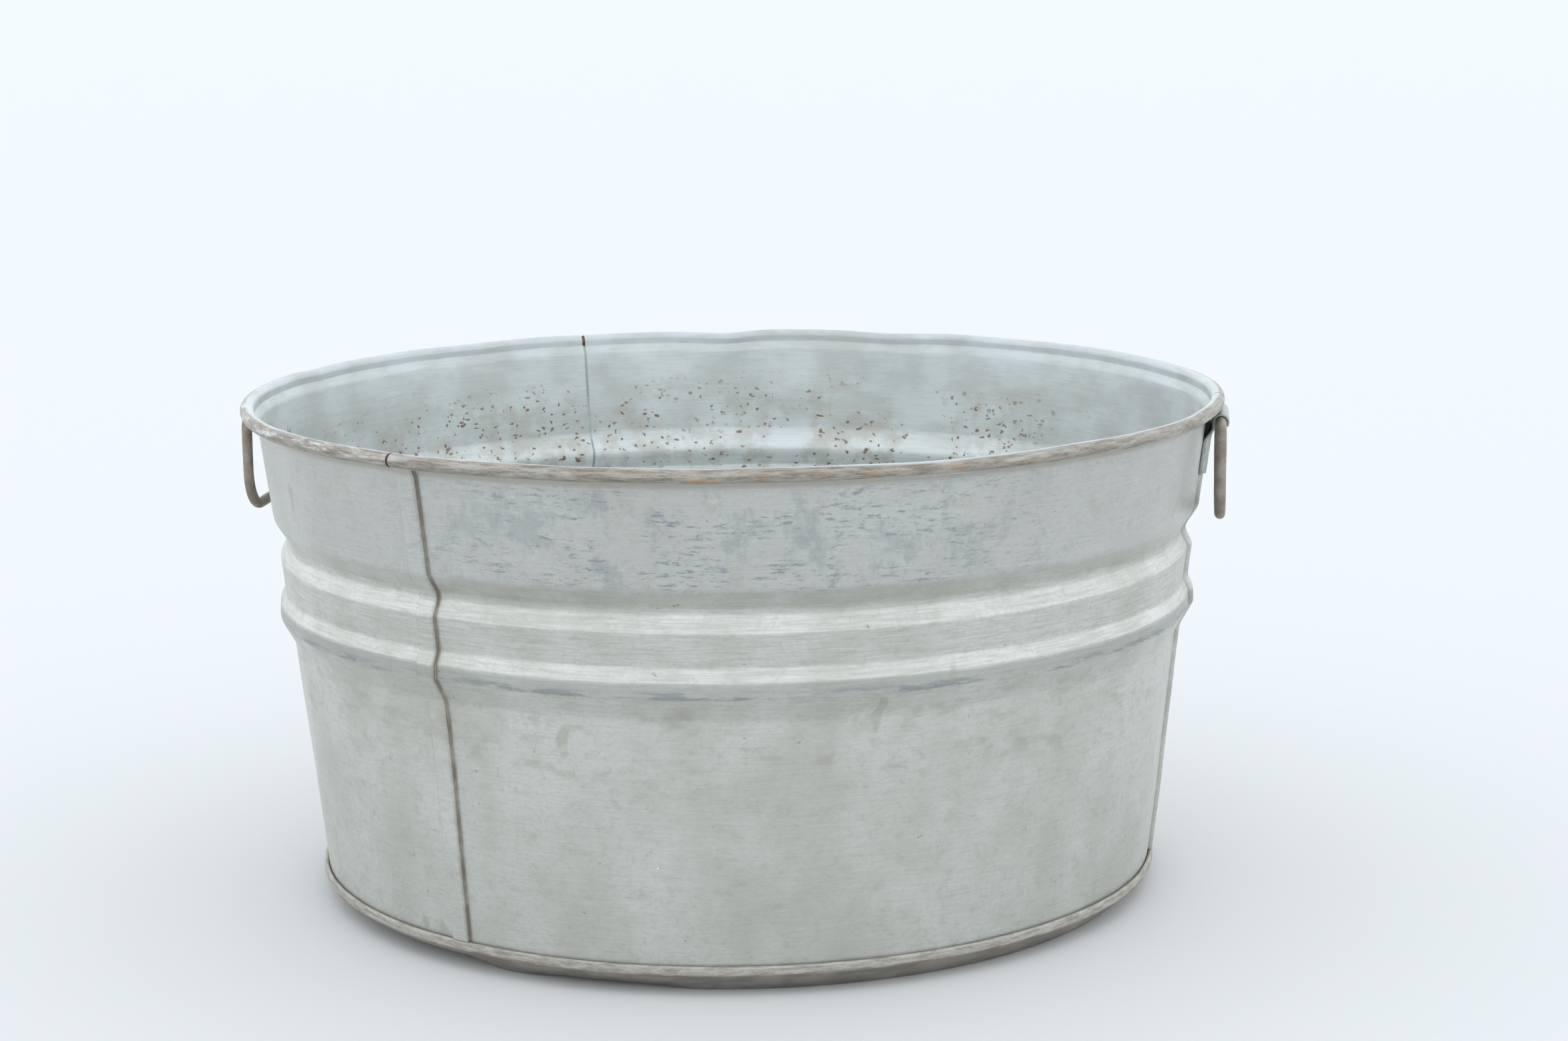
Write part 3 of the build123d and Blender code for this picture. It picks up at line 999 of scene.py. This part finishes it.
# %% The inside of the wall, and the rim
def rim_wear(tree, clean):
    """Lays the streaky brown, grey and rust of the worn rim over the outer half of the roll."""
    grain = share(tree, streaks(tree, 2.2, 8, 8.0, 0.8), 0.40, 0.62)
    brown = blotch(tree, colour("#9E988D"), colour("#756D62"), grain)
    zinc = share(tree, streaks(tree, 5, 6, 8.0, 0.8), 0.48, 0.60)
    bare = add(tree, "Math", near(tree, (-0.25, -0.12, 0.294), 250), 0.30, operation="MAXIMUM")
    top = blotch(tree, brown, colour("#C6CAC7"), times(tree, zinc, bare))
    rust = times(tree, share(tree, streaks(tree, 6, 3), 0.56, 0.66), near(tree, (0.05, -0.29, 0.294), 170))
    top = blotch(tree, top, colour("#AE8050"), rust)
    worn = blotch(tree, clean, top, share(tree, height_of(tree), 289.0 * MM, 290.5 * MM))
    outer = share(tree, way_out(tree), RIM_R - 0.5 * MM, RIM_R + 1.5 * MM)
    return blotch(tree, clean, worn, outer)


def watered_zinc_with_painted_light(tree, lines):
    """Blue grey zinc, drawn paler over the lower wall and the inner ribs as painted light, with fine lines
    round it.
    """
    cloud = share(tree, clouds(tree, 38, (1, 1, 1.4)), 0.35, 0.68)
    tint = blotch(tree, colour("#C1C8C6"), colour("#B2B7B3"), cloud)
    # Painted light: a pale belt over the lower inside wall and the inner ribs.
    tint = blotch(tree, tint, colour("#E4E9E7"), times(tree, belt(tree, 60, 222, 12), 0.7))
    tint = blotch(tree, tint, colour("#A3A8A4"), times(tree, share(tree, lines, 0.52, 0.36), 0.3))
    return blotch(tree, tint, colour("#D2D7D6"), times(tree, share(tree, lines, 0.52, 0.72), 0.3))


def where_pits_crowd(tree):
    """Clusters on the wet side, from the lower rib to the middle of the upper band."""
    left, back = near(tree, (-0.17, 0.21, 0.21), 270), near(tree, (0.05, 0.27, 0.21), 230)
    wet = add(tree, "Math", left, back, operation="MAXIMUM")
    return times(tree, wet, share(tree, clouds(tree, 36), 0.40, 0.50), belt(tree, 165, 262, 14))


def inside_finish():
    """Watered zinc with clusters of rust pits, which look like dark brown pepper."""
    material, tree = finish_of("galvanised steel, pitted inside")
    lines = streaks(tree, 1.5, 16, 5.0, 0.75)
    tint = watered_zinc_with_painted_light(tree, lines)
    crowd = where_pits_crowd(tree)
    fine, coarse = spots(tree, 5, 0.28, 0.50, (1, 1, 1.3)), spots(tree, 8.5, 0.27, 0.55, (1, 1, 1.5))
    pits = add(tree, "Math", fine, coarse, operation="MAXIMUM")
    halo = times(tree, share(tree, clouds(tree, 14), 0.42, 0.62), crowd, 0.4)
    tint = blotch(tree, tint, colour("#A2998C"), halo)
    tint = blotch(tree, tint, colour("#7A5D4A"), times(tree, pits, crowd, 0.95))
    tint = rim_wear(tree, tint)
    gloss = add(tree, "MapRange", clouds(tree, 30), 0.3, 0.7, 0.36, 0.52)
    sunk = times(tree, pits, crowd, -1.0)
    brushed = add(tree, "Bump", Height=lines, Strength=0.3, Distance=0.06 * MM)
    relief = add(tree, "Bump", Height=sunk, Strength=0.6, Distance=0.4 * MM, Normal=brushed)
    worn_metal(tree, tint, gloss, relief, 0.35)
    return material


inside = inside_finish()
for piece in panels:
    piece.data.materials.append(outside)
    piece.data.materials.append(inside)
print(inside.name, len(inside.node_tree.nodes), "nodes")

# %% [markdown]
# ## The foot
#
# The hem of the bottom catches every knock. Its band is streaked zinc, with a
# brown line where the zinc has worn through, and the slope under it is a darker
# brown grey.

# %% The bottom's finishes
def foot_finish():
    """Pale hem, a rusty edge under it, and a darker brown grey slope."""
    material, tree = finish_of("galvanised steel, stained foot")
    cloud = share(tree, clouds(tree, 22, (1, 1, 2)), 0.35, 0.65)
    slope = blotch(tree, colour("#969188"), colour("#7E7A73"), cloud)
    grain = share(tree, streaks(tree, 2.4, 7, 8.0, 0.8), 0.40, 0.62)
    hem = blotch(tree, colour("#B2B0A8"), colour("#8F897E"), grain)
    tint = blotch(tree, slope, hem, share(tree, height_of(tree), 11.6 * MM, 13.0 * MM))
    rust = times(tree, belt(tree, 11.2, 13.0, 0.8), share(tree, streaks(tree, 4, 8), 0.50, 0.62))
    tint = blotch(tree, tint, colour("#85705F"), rust)
    gloss = add(tree, "MapRange", clouds(tree, 14), 0.3, 0.7, 0.48, 0.65)
    relief = add(tree, "Bump", Height=clouds(tree, 9), Strength=0.5, Distance=0.4 * MM)
    worn_metal(tree, tint, gloss, relief, 0.4)
    return material


foot = foot_finish()
pan.data.materials.append(foot)
pan.data.materials.append(inside)
print(foot.name, len(foot.node_tree.nodes), "nodes")

# %% [markdown]
# ## Rod, wire, bracket and rivets
#
# The rods have lost their zinc to hands and weather and wear a thin, even coat of
# brown grey rust. The wire in the rim is rustier, because water sits in the roll.
# The brackets are thicker plate and kept their zinc, gone faintly green.

# %% The finishes of the fittings
def rusted_finish(name, light, dark, rust, amount):
    """Bare steel under a thin skin of rust, in a light, a dark and a rusty tone."""
    material, tree = finish_of(name)
    tint = blotch(tree, colour(light), colour(dark), share(tree, clouds(tree, 9), 0.35, 0.65))
    tint = blotch(tree, tint, colour(rust), times(tree, share(tree, clouds(tree, 6), 0.48, 0.66), amount))
    grain = clouds(tree, 1.6, detail=3.0)
    relief = add(tree, "Bump", Height=grain, Strength=0.6, Distance=0.25 * MM)
    gloss = add(tree, "MapRange", clouds(tree, 7), 0.3, 0.7, 0.50, 0.68)
    worn_metal(tree, tint, gloss, relief, 0.35)
    return material


def plate_finish(name, light, dark, green):
    """Thicker dipped plate with drips and a faint green bloom."""
    material, tree = finish_of(name)
    tint = blotch(tree, colour(light), colour(dark), share(tree, clouds(tree, 12), 0.35, 0.65))
    tint = blotch(tree, tint, colour(green), times(tree, share(tree, clouds(tree, 10), 0.5, 0.65), 0.6))
    relief = add(tree, "Bump", Height=clouds(tree, 6), Strength=0.5, Distance=0.3 * MM)
    gloss = add(tree, "MapRange", clouds(tree, 8), 0.3, 0.7, 0.42, 0.58)
    worn_metal(tree, tint, gloss, relief, 0.5)
    return material


rod_finish = rusted_finish("steel rod, brown skin", "#9A9388", "#7F776D", "#8C7660", 0.5)
wire_finish = rusted_finish("steel wire, rusted", "#7A6251", "#59463A", "#8A5A38", 0.9)
bracket_finish = plate_finish("galvanised plate", "#AAB1AC", "#999E97", "#9AA78B")
fill_finish = plate_finish("zinc and dirt", "#A39C91", "#7E776D", "#8F8979")
filler_finish = plate_finish("zinc in the inner seams", "#A7AFAE", "#949C9B", "#9AA29A")
rivet_finish = plate_finish("galvanised rivet", "#B0B5B2", "#97998F", "#A0A596")
for piece in handles:
    piece.data.materials.append(rod_finish)
for piece in brackets:
    piece.data.materials.append(bracket_finish)
for piece in rivet_sets:
    piece.data.materials.append(rivet_finish)
for piece in fills:
    piece.data.materials.append(fill_finish)
for piece in fillers:
    piece.data.materials.append(filler_finish)
rim_wire.data.materials.append(wire_finish)
print("finishes:", [material.name for material in bpy.data.materials if material.users])

# %% [markdown]
# ## Floor, light and camera
#
# The tub stands on a plain pale floor under a bright, even sky, like a table by
# large windows. The sky is brighter than the floor, which makes the tops of the
# ribs bright and their undersides soft grey. The camera looks slightly down, from
# a little to the right of the tub's front.

# %% The floor
FLOOR_HALF = 40.0
bm = bmesh.new()
bmesh.ops.create_grid(bm, x_segments=1, y_segments=1, size=FLOOR_HALF)
mesh = bpy.data.meshes.new("floor")
bm.to_mesh(mesh)
bm.free()
floor = bpy.data.objects.new("floor", mesh)
bpy.context.scene.collection.objects.link(floor)
floor_paint, tree = finish_of("white floor paint")
paint = add(
    tree, "BsdfPrincipled", Base_Color=colour("#D4D5D4"), Roughness=0.8, Specular_IOR_Level=0.1
)
add(tree, "OutputMaterial", Surface=paint.outputs["BSDF"])
floor.data.materials.append(floor_paint)
print("floor", 2 * FLOOR_HALF, "m square")

# %% The light
SKY_AT_HORIZON = 1.65
SKY_OVERHEAD = 1.40

world = bpy.data.worlds.new("studio")
world.use_nodes = True
bpy.context.scene.world = world
tree = world.node_tree
tree.nodes.clear()
spot = add(tree, "TexCoord")
split = add(tree, "SeparateXYZ", spot.outputs["Generated"])
brightness = add(tree, "MapRange", split.outputs["Z"], 0.0, 1.0, SKY_AT_HORIZON, SKY_OVERHEAD)
sky = add(tree, "Background", Color=colour("#F4F9FF"), Strength=brightness)
add(tree, "OutputWorld", Surface=sky.outputs[0])
bpy.context.scene.view_settings.view_transform = "Standard"
print("sky strength", SKY_AT_HORIZON, "to", SKY_OVERHEAD)

# %% The camera
CAMERA_ROUND = math.radians(7.9)
CAMERA_AWAY = 1.9333
CAMERA_HIGH = 0.5739
CAMERA_DOWN = math.radians(10.482)
CAMERA_ASIDE = math.radians(0.885)
CAMERA_ROLL = math.radians(-0.615)
CAMERA_LENS = 74.245

camera_data = bpy.data.cameras.new("camera")
camera_data.sensor_width = 36
camera_data.lens = CAMERA_LENS
camera = bpy.data.objects.new("camera", camera_data)
bpy.context.scene.collection.objects.link(camera)
level = Matrix.Rotation(CAMERA_ROUND - CAMERA_ASIDE, 4, "Z")
tilt = Matrix.Rotation(math.pi / 2 - CAMERA_DOWN, 4, "X")
stand_at = Matrix.Rotation(CAMERA_ROUND, 4, "Z") @ Vector((0, -CAMERA_AWAY, CAMERA_HIGH))
camera.matrix_world = Matrix.Translation(stand_at) @ level @ tilt @ Matrix.Rotation(CAMERA_ROLL, 4, "Z")
bpy.context.scene.camera = camera
print("camera at", [round(v, 3) for v in stand_at])
